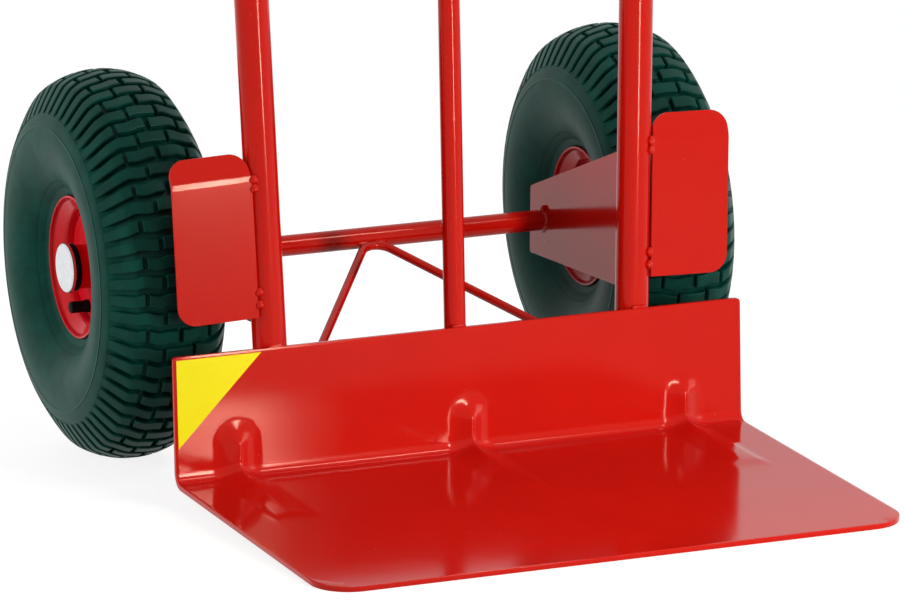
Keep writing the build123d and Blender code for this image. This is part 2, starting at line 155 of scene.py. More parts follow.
# Axle, brackets and guards
axle_low, axle_high = box_of("axle")
axle_y = (axle_low.y + axle_high.y) / 2
axle_z = (axle_low.z + axle_high.z) / 2
axle_radius = (axle_high.z - axle_low.z) / 2
bracket_middle = upright_half_spacing + (axle_z - flange_top) * tan(upright_lean)
bracket_thickness = 5.0
bracket_overhang = 25.3
bracket_back_drop = 31.2
bracket_back_rise = 24.0
bracket_front_drop = 26.3
bracket_front_rise = 85.6
bracket_corner_radius = 3.0
bracket_corner_steps = 5
bracket_edge = 0.5
guard_thickness = 3.0
guard_setback = 2.4
guard_front = flange_back + guard_setback
guard_gap = 0.5
guard_width = 66.0
guard_drop = 14.0
guard_bottom = axle_z - guard_drop
guard_rise = 97.0
guard_fold = axle_z + guard_rise
guard_fold_radius = 16.0
guard_fold_angle = radians(25)
guard_fold_steps = 10
guard_top_length = 20.0
guard_top_corner_radius = 13.5
guard_corner_radius = 15.0
guard_corner_steps = 10
guard_edge = 0.6

# Brace, a bent rod from the axle to the back of the flange
brace_radius = 3.5
brace_gap = 2.7
brace_half_spread = upright_half_spacing - upright_radius - brace_radius - brace_gap
brace_foot = 74.8

# Tyres, modelled round the origin with +X on the outer side of the right one
tyre_low, tyre_high = box_of("right_tyre")
wheel_centre = (tyre_low.x + tyre_high.x) / 2
wheel_radius = (tyre_high.z - tyre_low.z) / 2
tyre_half_width = (tyre_high.x - tyre_low.x) / 2
tyre_steps = 144
crown_radius = 66.0
crown_turn = radians(30)
shoulder_radius = 10.0
shoulder_turn = radians(24)
facet_radius = 170.0
skin_step = 2.0
ridge_radius = 123.0
ridge_step = 0.3
ridge_edge_drop = 0.8
ridge_foot_drop = 2.2
widest_radius = 98.0
wall_inset = 0.4
wall_steps = 96
foot_half_width = 33.9
foot_radius = 63.0
foot_turn_in = 1.5
foot_turn_down = 3.2
foot_tuck = 2.5
seat_tuck = 1.0

# Rings on the side wall: a sunk one at the bead, and one that stands out by a share of its depth
bead_ring_radius = 68.5
bead_ring_depth = 1.1
wall_ring_radius = 113.0
wall_ring_rise = 0.5
ring_half_width = 1.0

# Tread bars, laid across the crown in staggered rows
tread_depth = 5.5
groove_run_out = 12.0
least_groove = 0.1
tread_wave = 1.2
tread_wave_length = 26.0
tread_rows = 32
tread_bar = radians(3.7)
tread_slant = 0.05
tread_straight = 9.0
tread_edge = 0.8
tread_cut = 3.0
tread_pair_end = 25.0
tread_block_end = 11.0
tread_slot = 4.4
bar_root = 1.0
bar_inset = 0.2

# Rims
rim_lip_half_width = 33.6
rim_lip_radius = 56.2
rim_seat_half_width = 29.2
rim_seat_radius = 55.2
rim_seat_end = 23.6
rim_seat_end_radius = 46.2
rim_well_half_width = 18.4
rim_well_radius = 44.7
rim_sheet = 2.0
rim_bend = 1.6
rim_bend_steps = 4
rim_edge = 0.7
rim_edge_steps = 3
rim_steps = 96
disc_face = 17.6

# Hub caps: a bright face on a skirt with a lip at its back, a waist and a bead under the face
hub_radius = 17.5
hub_cap_radius = 20.0
hub_cap_face = 41.6
hub_cap_depth = 9.0
hub_cap_plate = 3.8
hub_cap_edge = 2.0
hub_cap_edge_steps = 8
hub_cap_steps = 64
skirt_inset = 1.0
skirt_fit = 0.1
skirt_lip = 0.8
skirt_waist_start = 1.0
skirt_waist_start_drop = 0.6
skirt_waist_end = 1.4
skirt_waist_end_drop = 0.4
skirt_bead = 0.4
skirt_bead_rise = 0.2

# Valves: lengths along the stem from the outer disc's face, and along the cap from its nearer end
valve_ring = 36.5
valve_angle = radians(17.5)
valve_tip = 33.6
valve_steps = 32
valve_stem_radius = 4.3
valve_root = 6.0
valve_base_radius = 5.25
valve_base_back = 3.0
valve_base_start = 2.4
valve_base_end = 1.6
valve_neck = 3.4
valve_neck_swell = 0.6
valve_cap_length = 10.0
valve_cap_radius = 4.7
valve_cap_mouth = 0.4
valve_cap_mouth_drop = 0.3
valve_cap_round_start = 1.2
valve_cap_round_end = 0.3
valve_cap_round_drop = 0.8
valve_cap_tip_drop = 1.8

# Weld beads, with the shape of a bead's ends and ripples as shares of its radius
weld_ripple = 3.0
bead_steps = 14
bead_tip = 0.7
bead_shoulder = 0.45
bead_shoulder_height = 0.7
bead_valley = 0.84
flange_weld_length = 9.0
flange_weld_radius = 2.4
seam_weld_radius = 2.8
seam_weld_start = 13.6
seam_weld_end = 6.8
seam_weld_inset = 1.7
bracket_weld_radius = 3.0
bracket_weld_end = 6.8
apex_weld_length = 8.0
apex_weld_radius = 2.6

# Weld rings, with the round of a ring's face as shares of its size, along the bar and off it
weld_sink = 0.5
axle_weld = 2.2
axle_weld_root = 1.0
axle_weld_round = ((0.45, 0.75), (0.85, 0.3))
axle_weld_ripple = 0.4
axle_weld_ripples = 16
axle_weld_steps = 48
foot_weld = 2.5
foot_weld_sink = 0.3
foot_weld_round = ((0.6, 0.8), (1.4, 0.3))
foot_weld_steps = 28

# Weld lumps, with how much the top, the side and the back of a ball are stretched
guard_lump = 3.6
guard_lump_sink = 1.0
guard_lump_rises = (10.0, 20.0)
guard_lump_drops = (9.0, 2.0)
axle_lump = 4.0
axle_lump_stand = 1.0
lump_segments = 18
lump_rings = 12
lump_top = (0.8, 0.9, 1.2)
lump_side = (1.3, 0.8, 1.0)
lump_back = (1.0, 0.5, 1.0)
lump_smoothing = 0.5
lump_smoothing_steps = 5

# Limits of the modelling tools: points to merge, places to tell apart and edges to round
merge_within = 0.002
close_by = 0.01
sharp_corner = radians(60)


def start_piece(name, add, **settings):
    """Add a primitive with nothing else selected, at its size and place."""
    bpy.ops.object.select_all(action="DESELECT")
    add(**settings)
    piece = bpy.context.active_object
    piece.name = name
    bpy.ops.object.transform_apply(location=True, rotation=True, scale=True)
    return piece


def edit(piece, kind):
    """Open a piece in edit mode with nothing selected."""
    bpy.context.view_layer.objects.active = piece
    bpy.ops.object.mode_set(mode="EDIT")
    bpy.ops.mesh.select_mode(type=kind)
    bpy.ops.mesh.select_all(action="DESELECT")


def pick(piece, kind, test):
    """Select the vertices, edges or faces whose middle passes a test."""
    bpy.ops.mesh.select_mode(type=kind)
    bpy.ops.mesh.select_all(action="DESELECT")
    mesh = bmesh.from_edit_mesh(piece.data)
    parts = {"VERT": mesh.verts, "EDGE": mesh.edges, "FACE": mesh.faces}[kind]
    for part in parts:
        corners = [part] if kind == "VERT" else part.verts
        middle = sum((corner.co for corner in corners), Vector()) / len(corners)
        part.select_set(test(middle))
    mesh.select_flush_mode()
    bmesh.update_edit_mesh(piece.data)


def close_edit():
    """Merge doubled points, turn the faces outwards and go back to object mode."""
    bpy.ops.mesh.select_all(action="SELECT")
    bpy.ops.mesh.remove_doubles(threshold=merge_within)
    bpy.ops.mesh.normals_make_consistent(inside=False)
    bpy.ops.object.mode_set(mode="OBJECT")


def modify(piece, kind, **settings):
    """Add a modifier with its settings and apply it."""
    bpy.ops.object.select_all(action="DESELECT")
    piece.select_set(True)
    bpy.context.view_layer.objects.active = piece
    modifier = piece.modifiers.new(kind.title(), kind)
    for name, value in settings.items():
        setattr(modifier, name, value)
    bpy.ops.object.modifier_apply(modifier=modifier.name)


def round_edges(piece, width, segments=2):
    """Round off the sharp edges of a piece."""
    modify(piece, "BEVEL", width=width, segments=segments, limit_method="ANGLE", angle_limit=sharp_corner)


def place(piece, matrix):
    """Move a piece by a matrix and keep its place in its mesh."""
    bpy.ops.object.select_all(action="DESELECT")
    piece.select_set(True)
    bpy.context.view_layer.objects.active = piece
    piece.matrix_world = matrix
    bpy.ops.object.transform_apply(location=True, rotation=True, scale=True)


def copy_of(piece, name, matrix):
    """A copy with its own mesh, moved by a matrix and turned right side out."""
    twin = piece.copy()
    twin.data = piece.data.copy()
    twin.name = name
    bpy.context.scene.collection.objects.link(twin)
    place(twin, matrix)
    if matrix.determinant() < 0:
        edit(twin, "FACE")
        bpy.ops.mesh.select_all(action="SELECT")
        bpy.ops.mesh.flip_normals()
        bpy.ops.object.mode_set(mode="OBJECT")
    return twin


def join(name, pieces):
    """Make several pieces one."""
    bpy.ops.object.select_all(action="DESELECT")
    for piece in pieces:
        piece.select_set(True)
    bpy.context.view_layer.objects.active = pieces[0]
    if len(pieces) > 1:
        bpy.ops.object.join()
    pieces[0].name = name
    return pieces[0]


def finish_piece(piece, material, body, slot, nodes, smooth_below=40, flat_faces=True):
    """Scale to metres, shade with large faces kept flat, paint and hand the piece to its body."""
    place(piece, Matrix.Scale(1 / metre, 4))
    bpy.ops.object.shade_smooth_by_angle(angle=radians(smooth_below))
    if flat_faces:
        modify(piece, "WEIGHTED_NORMAL", keep_sharp=True)
    piece.data.materials.clear()
    piece.data.materials.append(material)
    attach(piece, body)
    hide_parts(*nodes)


across = Matrix.Scale(-1, 4, (1, 0, 0))


def finish_pair(name, right, material, body, slot, nodes, **shading):
    """Finish a right-hand piece and its mirror image on the left."""
    left = copy_of(right, f"left_{name}", across)
    for side, piece in (("right", right), ("left", left)):
        piece.name = f"{side}_{name}"
        own_body = body.replace("SIDE", side)
        own_nodes = [node.replace("SIDE", side) for node in nodes]
        finish_piece(piece, material, own_body, slot, own_nodes, **shading)


def arc(middle, radius, start, end, steps):
    """Points of a round stretch, angles in degrees."""
    turns = [radians(start + (end - start) * index / steps) for index in range(steps + 1)]
    return [(middle[0] + radius * cos(turn), middle[1] + radius * sin(turn)) for turn in turns]


def arc_through(first, middle, last, steps):
    """Points of the arc that runs through three points."""
    start = Vector(first)
    to_middle = Vector(middle) - start
    to_last = Vector(last) - start
    cross = 2 * (to_middle.x * to_last.y - to_middle.y * to_last.x)
    middle_square = to_middle.length_squared
    last_square = to_last.length_squared
    centre_x = (to_last.y * middle_square - to_middle.y * last_square) / cross
    centre_y = (to_middle.x * last_square - to_last.x * middle_square) / cross
    centre = start + Vector((centre_x, centre_y))
    spoke = start - centre
    turn = spoke.angle_signed(Vector(last) - centre)
    turns = [Matrix.Rotation(-turn * index / steps, 2) for index in range(steps + 1)]
    return [tuple(centre + part_turn @ spoke) for part_turn in turns]


def lathe(name, line, steps):
    """Draw a line of (along X, radius) points and spin it round the X axis."""
    piece = start_piece(name, bpy.ops.mesh.primitive_plane_add, size=1)
    edit(piece, "VERT")
    bpy.ops.mesh.select_all(action="SELECT")
    bpy.ops.mesh.merge(type="CENTER")
    bpy.ops.transform.translate(value=(line[0][0], 0, line[0][1]))
    for here, there in zip(line, line[1:]):
        step = (there[0] - here[0], 0, there[1] - here[1])
        bpy.ops.mesh.extrude_vertices_move(TRANSFORM_OT_translate={"value": step})
    bpy.ops.mesh.select_all(action="SELECT")
    bpy.ops.mesh.spin(steps=steps, angle=2 * pi, center=(0, 0, 0), axis=(1, 0, 0))
    close_edit()
    return piece


def along(start, end):
    """Matrix that lays a piece drawn along X from the origin on a line between two points."""
    run = Vector(end) - Vector(start)
    return Matrix.Translation(start) @ run.to_track_quat("X", "Z").to_matrix().to_4x4()


def leaned():
    """Matrix from an upright tube at X = 0 to the right upright."""
    turn = Matrix.Rotation(upright_lean, 4, "Y")
    lift = Matrix.Translation((0, 0, flange_top))
    spread = Matrix.Translation((upright_half_spacing, 0, 0))
    return spread @ lift @ turn @ lift.inverted()


# Materials

# Sizes of the patterns in millimetres, and how much rougher the dull patches are
paint_cloud = 60.0
paint_speck = 5.0
paint_wear = 25.0
paint_wear_roughness = 0.08
paint_peel = 2.2
rubber_cloud = 18.0
rubber_grain = 1.2
zinc_cloud = 6.0
zinc_cloud_roughness = 0.1
film_cloud = 12.0


def colour(text):
    """sRGB hex to linear RGBA."""
    parts = [int(text[index:index + 2], 16) / 255 for index in (1, 3, 5)]
    linear = [part / 12.92 if part <= 0.04045 else ((part + 0.055) / 1.055) ** 2.4 for part in parts]
    return (*linear, 1)


def add(tree, kind, sockets=None, **settings):
    """Add a node with its settings, and link or set its sockets."""
    node = tree.nodes.new(f"ShaderNode{kind}")
    for name, value in settings.items():
        setattr(node, name, value)
    for name, value in (sockets or {}).items():
        if isinstance(value, bpy.types.NodeSocket):
            tree.links.new(value, node.inputs[name])
        else:
            node.inputs[name].default_value = value
    return node


def per_size(size):
    """Noise scale whose features are about so many millimetres wide."""
    return metre / size


def new_material(name):
    """An empty material with its shader and Object coordinates."""
    material = bpy.data.materials.new(name)
    material.use_nodes = True
    tree = material.node_tree
    shader = tree.nodes["Principled BSDF"]
    place_on_piece = add(tree, "TexCoord").outputs["Object"]
    return material, tree, shader, place_on_piece


def paint(name, body, shade, gloss):
    """Polyester powder coat: a glossy film with faint orange peel, uneven wear and specks of dust."""
    material, tree, shader, where = new_material(name)
    cloud = add(tree, "TexNoise", {"Vector": where, "Scale": per_size(paint_cloud), "Detail": 3})
    tint = add(tree, "MixRGB", {"Fac": cloud.outputs["Fac"], "Color1": colour(body), "Color2": colour(shade)})
    specks = add(tree, "TexNoise", {"Vector": where, "Scale": per_size(paint_speck), "Detail": 2})
    dust = add(tree, "MapRange", {"Value": specks.outputs["Fac"], "From Min": 0.76, "From Max": 0.82,
                                  "To Max": 0.25})
    dusty = add(tree, "MixRGB", {"Fac": dust.outputs["Result"], "Color1": tint.outputs["Color"],
                                 "Color2": colour("#E8B8A8")})
    tree.links.new(dusty.outputs["Color"], shader.inputs["Base Color"])
    wear = add(tree, "TexNoise", {"Vector": where, "Scale": per_size(paint_wear), "Detail": 4})
    rough = add(tree, "MapRange", {"Value": wear.outputs["Fac"], "To Min": gloss,
                                   "To Max": gloss + paint_wear_roughness})
    tree.links.new(rough.outputs["Result"], shader.inputs["Roughness"])
    peel = add(tree, "TexNoise", {"Vector": where, "Scale": per_size(paint_peel), "Detail": 1})
    bump = add(tree, "Bump", {"Height": peel.outputs["Fac"], "Strength": 0.04, "Distance": 0.0002})
    tree.links.new(bump.outputs["Normal"], shader.inputs["Normal"])
    shader.inputs["IOR"].default_value = 1.34
    shader.inputs["Specular Tint"].default_value = colour("#FFD0B8")
    return material


def rubber(name, body, dusty, roughness):
    """Moulded rubber: matt, slightly uneven and greyer where dust clings."""
    material, tree, shader, where = new_material(name)
    cloud = add(tree, "TexNoise", {"Vector": where, "Scale": per_size(rubber_cloud), "Detail": 5})
    spread = add(tree, "MapRange", {"Value": cloud.outputs["Fac"], "From Min": 0.35, "From Max": 0.75})
    tint = add(tree, "MixRGB", {"Fac": spread.outputs["Result"], "Color1": colour(body),
                                "Color2": colour(dusty)})
    tree.links.new(tint.outputs["Color"], shader.inputs["Base Color"])
    # The real grain is too fine to show in the render, so it is drawn coarser
    grain = add(tree, "TexNoise", {"Vector": where, "Scale": per_size(rubber_grain), "Detail": 2})
    bump = add(tree, "Bump", {"Height": grain.outputs["Fac"], "Strength": 0.12, "Distance": 0.0003})
    tree.links.new(bump.outputs["Normal"], shader.inputs["Normal"])
    shader.inputs["Roughness"].default_value = roughness
    shader.inputs["IOR"].default_value = 1.2
    return material


def plated(name, body, shade, roughness):
    """Zinc plate or plain turned steel: bright metal with fine clouding."""
    material, tree, shader, where = new_material(name)
    cloud = add(tree, "TexNoise", {"Vector": where, "Scale": per_size(zinc_cloud), "Detail": 4})
    tint = add(tree, "MixRGB", {"Fac": cloud.outputs["Fac"], "Color1": colour(body), "Color2": colour(shade)})
    tree.links.new(tint.outputs["Color"], shader.inputs["Base Color"])
    rough = add(tree, "MapRange", {"Value": cloud.outputs["Fac"], "To Min": roughness,
                                   "To Max": roughness + zinc_cloud_roughness})
    tree.links.new(rough.outputs["Result"], shader.inputs["Roughness"])
    shader.inputs["Metallic"].default_value = 1.0
    return material


def film(name, body, shade):
    """Vinyl film: smooth, evenly coloured and slightly glossy."""
    material, tree, shader, where = new_material(name)
    cloud = add(tree, "TexNoise", {"Vector": where, "Scale": per_size(film_cloud), "Detail": 2})
    tint = add(tree, "MixRGB", {"Fac": cloud.outputs["Fac"], "Color1": colour(body), "Color2": colour(shade)})
    tree.links.new(tint.outputs["Color"], shader.inputs["Base Color"])
    shader.inputs["Roughness"].default_value = 0.35
    shader.inputs["IOR"].default_value = 1.25
    return material


red_paint = paint("red powder coat", "#CE1408", "#C41008", 0.08)
rim_red = paint("red rim powder coat", "#DE1426", "#D41022", 0.1)
tyre_black = rubber("moulded tyre rubber", "#04352C", "#0A463B", 0.45)
grip_black = rubber("soft grip rubber", "#0F1010", "#1A1B1B", 0.6)
zinc = plated("bright zinc plate", "#E4E5E6", "#CFD1D3", 0.18)
steel = plated("spring steel", "#9A9A98", "#868684", 0.3)
valve_black = rubber("valve rubber and cap", "#080A0A", "#101212", 0.6)
yellow_film = film("yellow vinyl film", "#FFFA04", "#FFF402")

finishes = {
    "red_powder_coat": red_paint,
    "rim_paint": rim_red,
    "tyre_rubber": tyre_black,
    "grip_rubber": grip_black,
    "bright_zinc": zinc,
    "steel": steel,
    "black_plastic": valve_black,
    "yellow_film": yellow_film,
}
for subpart in frame["record"]["subparts"]:
    node_mesh = frame["nodes"][subpart["node"]].data
    node_mesh.materials.clear()
    node_mesh.materials.append(finishes[subpart["material_slot"]])


# Toe plate


def smooth_min(one, other, blend):
    """The smaller of two distances, rounded where they are close."""
    near = max(blend - abs(one - other), 0) / blend
    return min(one, other) - near * near * blend / 4


def plate_height(y):
    """Height of the plate's top face at a place from front to back."""
    return crease + (y - flange_face) * tan(plate_slope)


# Each rib is a ridged finger on the flange and a ridged dart that sinks into the plate
finger_top = crease + rib_up - rib_half_width


def height_over_sheet(x, y, z):
    """Distance in the air from the pressed sheet's upper face."""
    from_flange = flange_face - y
    from_plate = (z - plate_height(y)) * cos(plate_slope)
    from_bend = smooth_min(from_flange, from_plate, bend_blend)
    beside = sqrt(min(abs(rib_x - x) for rib_x in rib_places) ** 2 + rib_ridge_radius**2)
    round_top = sqrt(beside**2 + max(z - finger_top, 0) ** 2)
    from_finger = (from_flange - rib_rise * (1 - round_top / rib_half_width)) * cos(rib_flank)
    to_tip = 1 - from_flange / rib_out
    to_side = 1 - beside / rib_half_width
    if min(to_tip, to_side) > 0:
        dart_height = rib_rise * to_tip * to_side
    else:
        dart_height = rib_rise * min(rib_tip_fall * to_tip, to_side)
    from_dart = (from_plate - dart_height) * cos(rib_flank)
    return smooth_min(from_bend, smooth_min(from_finger, from_dart, rib_hollow), rib_blend)


def pressed(x, run):
    """Where a point of the flat sheet goes, run being its distance from the crease."""
    if run < 0:
        flat = Vector((flange_face, crease - run))
    else:
        y = flange_face - run * cos(plate_slope)
        flat = Vector((y, plate_height(y)))
    if height_over_sheet(x, *flat) > -flat_tolerance:
        return Vector((x, *flat))
    # The sheet is met on the way from a point out in the corner between its two faces
    away = Vector((flange_face - press_from, crease + press_from))
    way = (flat - away).normalized()
    travelled = 0
    for _ in range(press_steps):
        gap = height_over_sheet(x, *(away + way * travelled))
        travelled += gap
        if gap < press_tolerance:
            break
    return Vector((x, *(away + way * travelled)))


def spaced(low, high, step):
    """Evenly spaced places from low to high."""
    count = max(1, round((high - low) / step))
    return [low + (high - low) * index / count for index in range(count + 1)]


def make_toe_plate():
    """A flat sheet with rounded corners, cut by lines, pressed to its bend and ribs, then thickened."""
    up = flange_top - crease
    piece = start_piece("toe_plate_pressed", bpy.ops.mesh.primitive_plane_add, size=1)
    place(piece, Matrix.Translation((0, (plate_length - up) / 2, 0))
          @ Matrix.Diagonal((toe_width, plate_length + up, 1, 1)))
    edit(piece, "VERT")
    corners = (
        (plate_length, toe_corner_radius, toe_corner_steps),
        (-up, flange_corner_radius, flange_corner_steps),
    )
    for end, radius, steps in corners:
        pick(piece, "VERT", lambda middle: abs(middle.y - end) < close_by)
        bpy.ops.mesh.bevel(affect="VERTICES", offset=radius, segments=steps)
    lines_x = [x for rib in rib_places for x in spaced(rib - rib_reach, rib + rib_reach, spacing_across_rib)]
    for low, high in zip(rib_places, rib_places[1:]):
        lines_x += spaced(low + rib_reach, high - rib_reach, spacing_between_ribs)[1:-1]
    lines_x += [side * (toe_width / 2 - edge_margin) for side in (-1, 1)]
    zones = (
        (-up, -rib_zone_up, spacing_on_flange),
        (-rib_zone_up, -bend_zone, spacing_up_rib),
        (-bend_zone, bend_zone, spacing_in_bend),
        (bend_zone, rib_zone_out, spacing_along_rib),
        (rib_zone_out, plate_length, spacing_on_plate),
    )
    lines_run = [spot for zone in zones for spot in spaced(*zone)[1:]][:-1]
    lines_run += [edge_margin - up, plate_length - edge_margin]
    for line, normal in ((lines_x, Vector((1, 0, 0))), (lines_run, Vector((0, 1, 0)))):
        for spot in line:
            bpy.ops.mesh.select_all(action="SELECT")
            bpy.ops.mesh.bisect(plane_co=normal * spot, plane_no=normal)
    bpy.ops.mesh.select_all(action="SELECT")
    bpy.ops.mesh.flip_normals()
    bpy.ops.object.mode_set(mode="OBJECT")
    for corner in piece.data.vertices:
        corner.co = pressed(corner.co.x, corner.co.y)
    modify(piece, "SOLIDIFY", thickness=toe_sheet, offset=-1, use_even_offset=True)
    round_edges(piece, sheet_edge)
    finish_piece(piece, red_paint, "frame", "red_powder_coat", ["toe_plate"], flat_faces=False)


make_toe_plate()


# Tyres

# The skin is a crown, a tight shoulder and a nearly straight facet that run into each other
skin_arcs = [(crown_radius, crown_turn), (shoulder_radius, shoulder_turn)]


def skin(distance):
    """Point of the skin and its slope, at a distance along it from the middle of the crown."""
    point = Vector((0, wheel_radius))
    slope = 0
    for radius, turn in skin_arcs:
        step = min(distance, radius * turn)
        middle = point - radius * Vector((sin(slope), cos(slope)))
        slope += step / radius
        point = middle + radius * Vector((sin(slope), cos(slope)))
        distance -= step
    return point, slope


facet_start, facet_slope = skin(wheel_radius)
facet_fall = (facet_start.y - ridge_radius) / facet_radius
skin_arcs.append((facet_radius, acos(cos(facet_slope) - facet_fall) - facet_slope))
skin_length = sum(radius * turn for radius, turn in skin_arcs)
ridge_half_width = skin(skin_length)[0].x


def under_skin(distance, depth):
    """A point some way along the skin and below it."""
    point, slope = skin(distance)
    return point - depth * Vector((sin(slope), cos(slope)))


def groove_depth(distance):
    """Depth of the grooves some way along the skin: they run out before the ridge."""
    return max(least_groove, tread_depth * min(1, (skin_length - distance) / groove_run_out))


def ring_share(radius, ring_radius):
    """One in the middle of a ring on the side wall, falling to nought at its edges."""
    return max(0, 1 - abs(radius - ring_radius) / ring_half_width)


def make_carcass():
    """The tyre under its tread, as one closed line spun round the axle."""
    half = [tuple(under_skin(spot, groove_depth(spot))) for spot in spaced(0, skin_length, skin_step)]
    half.append((ridge_half_width - ridge_step, ridge_radius - ridge_edge_drop))
    wall_start = (ridge_half_width + ridge_step, ridge_radius - ridge_foot_drop)
    widest = (tyre_half_width - wall_inset, widest_radius)
    for out, radius in arc_through(wall_start, widest, (foot_half_width, foot_radius), wall_steps):
        ring = ring_share(radius, bead_ring_radius) - wall_ring_rise * ring_share(radius, wall_ring_radius)
        half.append((out - ring * bead_ring_depth, radius - ring * bead_ring_depth / 2))
    half += [
        (foot_half_width - foot_turn_in, foot_radius - foot_turn_down),
        (foot_half_width - foot_tuck, rim_lip_radius + rim_sheet / 2),
        (rim_seat_half_width - seat_tuck, rim_seat_radius + rim_sheet),
        (rim_seat_end, rim_seat_radius),
    ]
    line = [(-out, radius) for out, radius in reversed(half[1:])] + half
    line.append(line[0])
    return lathe("carcass", line, tyre_steps)


def on_crown(across_tread, angle, height):
    """A point over the tread: distance from its middle, angle round the axle, height over the floor."""
    side = 1 if across_tread > 0 else -1
    point = under_skin(abs(across_tread), tread_depth - height)
    beyond = max(abs(across_tread) - tread_straight, 0)
    wave = tread_wave * sin(2 * pi * min(beyond / tread_wave_length, 1))
    full = angle + side * (beyond * tread_slant + wave) / wheel_radius
    return Vector((side * point.x, point.y * sin(full), point.y * cos(full)))


def make_bar(start, end, angle):
    """One tread bar between two places across the tread, drawn flat and laid on the crown."""
    bar = start_piece("bar", bpy.ops.mesh.primitive_cube_add, size=1)
    width = tread_bar * wheel_radius
    height = tread_depth + bar_root
    place(bar, Matrix.Translation(((start + end) / 2, 0, height / 2 - bar_root))
          @ Matrix.Diagonal((end - start, width, height, 1)))
    edit(bar, "EDGE")
    pick(bar, "EDGE", lambda middle: middle.z > tread_depth - close_by)
    bpy.ops.mesh.bevel(offset=tread_edge, segments=1)
    for spot in spaced(start, end, skin_step)[1:-1]:
        bpy.ops.mesh.select_all(action="SELECT")
        bpy.ops.mesh.bisect(plane_co=(spot, 0, 0), plane_no=(1, 0, 0))
    pick(bar, "FACE", lambda middle: middle.z < close_by - bar_root)
    bpy.ops.mesh.delete(type="FACE")
    bpy.ops.object.mode_set(mode="OBJECT")
    for corner in bar.data.vertices:
        corner.co = on_crown(corner.co.x, angle + corner.co.y / wheel_radius, corner.co.z)
    return bar


def make_tread():
    """One pitch of the tread, modelled once and copied round the tyre."""
    half_pitch = pi / tread_rows
    edge = skin_length - bar_inset
    pair = (tread_slot / 2, tread_pair_end)
    outer = (tread_pair_end + tread_cut, edge)
    long = (tread_block_end + tread_cut, edge)
    bars = [make_bar(-tread_block_end, tread_block_end, half_pitch)]
    for angle, spans in ((0, (pair, outer)), (half_pitch, (long,))):
        for start, end in spans:
            bars += [make_bar(start, end, angle), make_bar(-end, -start, angle)]
    pitch = join("pitch", bars)
    turns = [copy_of(pitch, "pitch", Matrix.Rotation(2 * half_pitch * index, 4, "X"))
             for index in range(1, tread_rows)]
    return join("tread", [pitch] + turns)


def make_tyres():
    """The left tyre is a moved copy of the right one, with the same slant to its tread."""
    tyre = join("right_tyre_moulded", [make_carcass(), make_tread()])
    left = copy_of(tyre, "left_tyre_moulded", Matrix.Identity(4))
    for side, sign, piece in (("right", 1, tyre), ("left", -1, left)):
        place(piece, Matrix.Translation((sign * wheel_centre, axle_y, axle_z)))
        finish_piece(piece, tyre_black, f"{side}_wheel", "tyre_rubber", [f"{side}_tyre"], smooth_below=32)


make_tyres()


# Rims, hub caps and valves

to_wheel = Matrix.Translation((wheel_centre, axle_y, axle_z))


def rounded(line, radius, steps):
    """A line with its inner corners rounded off."""
    points = [Vector(line[0])]
    for before, corner, after in zip(line, line[1:], line[2:]):
        corner = Vector(corner)
        back = (Vector(before) - corner).normalized() * radius
        ahead = (Vector(after) - corner).normalized() * radius
        for index in range(steps + 1):
            part = index / steps
            points.append(corner + back * (1 - part) ** 2 + ahead * part**2)
    points.append(Vector(line[-1]))
    return [tuple(point) for point in points]


def make_rims():
    """Rolled sheet: a lip, a bead seat and a sunk well, drawn as one line and given its thickness."""
    right = [
        (rim_lip_half_width, rim_lip_radius),
        (rim_seat_half_width, rim_seat_radius),
        (rim_seat_end, rim_seat_end_radius),
        (rim_well_half_width, rim_well_radius),
    ]
    line = right + [(-out, radius) for out, radius in reversed(right)]
    rim = lathe("rim", rounded(line, rim_bend, rim_bend_steps), rim_steps)
    modify(rim, "SOLIDIFY", thickness=rim_sheet, offset=0, use_even_offset=True)
    round_edges(rim, rim_edge, rim_edge_steps)
    place(rim, to_wheel)
    finish_pair("rim_barrel_rolled", rim, rim_red, "SIDE_wheel", "rim_paint", ["SIDE_rim_barrel"])


def make_hub_caps():
    """A bright pressed face on a dark skirt that sits over the hub."""
    back = hub_cap_face - hub_cap_depth
    seam = hub_cap_face - hub_cap_plate
    edge_middle = (hub_cap_face - hub_cap_edge, hub_cap_radius - hub_cap_edge)
    line = [(seam, 0), (seam, hub_cap_radius)]
    line += arc(edge_middle, hub_cap_edge, 90, 0, hub_cap_edge_steps)
    line.append((hub_cap_face, 0))
    face = lathe("face", line, hub_cap_steps)
    place(face, to_wheel)
    finish_pair("hub_cap_face", face, zinc, "SIDE_wheel", "bright_zinc", ["SIDE_hub_cap"])
    bore = hub_radius + skirt_fit
    skirt_radius = hub_cap_radius - skirt_inset
    line = [
        (seam, bore),
        (back, bore),
        (back, skirt_radius),
        (back + skirt_lip, skirt_radius),
        (back + skirt_waist_start, skirt_radius - skirt_waist_start_drop),
        (seam - skirt_waist_end, skirt_radius - skirt_waist_end_drop),
        (seam - skirt_bead, skirt_radius + skirt_bead_rise),
        (seam, skirt_radius + skirt_bead_rise),
        (seam, bore),
    ]
    skirt = lathe("skirt", line, hub_cap_steps)
    place(skirt, to_wheel)
    finish_pair("hub_cap_skirt", skirt, valve_black, "SIDE_wheel", "black_plastic", ["SIDE_hub_cap"])


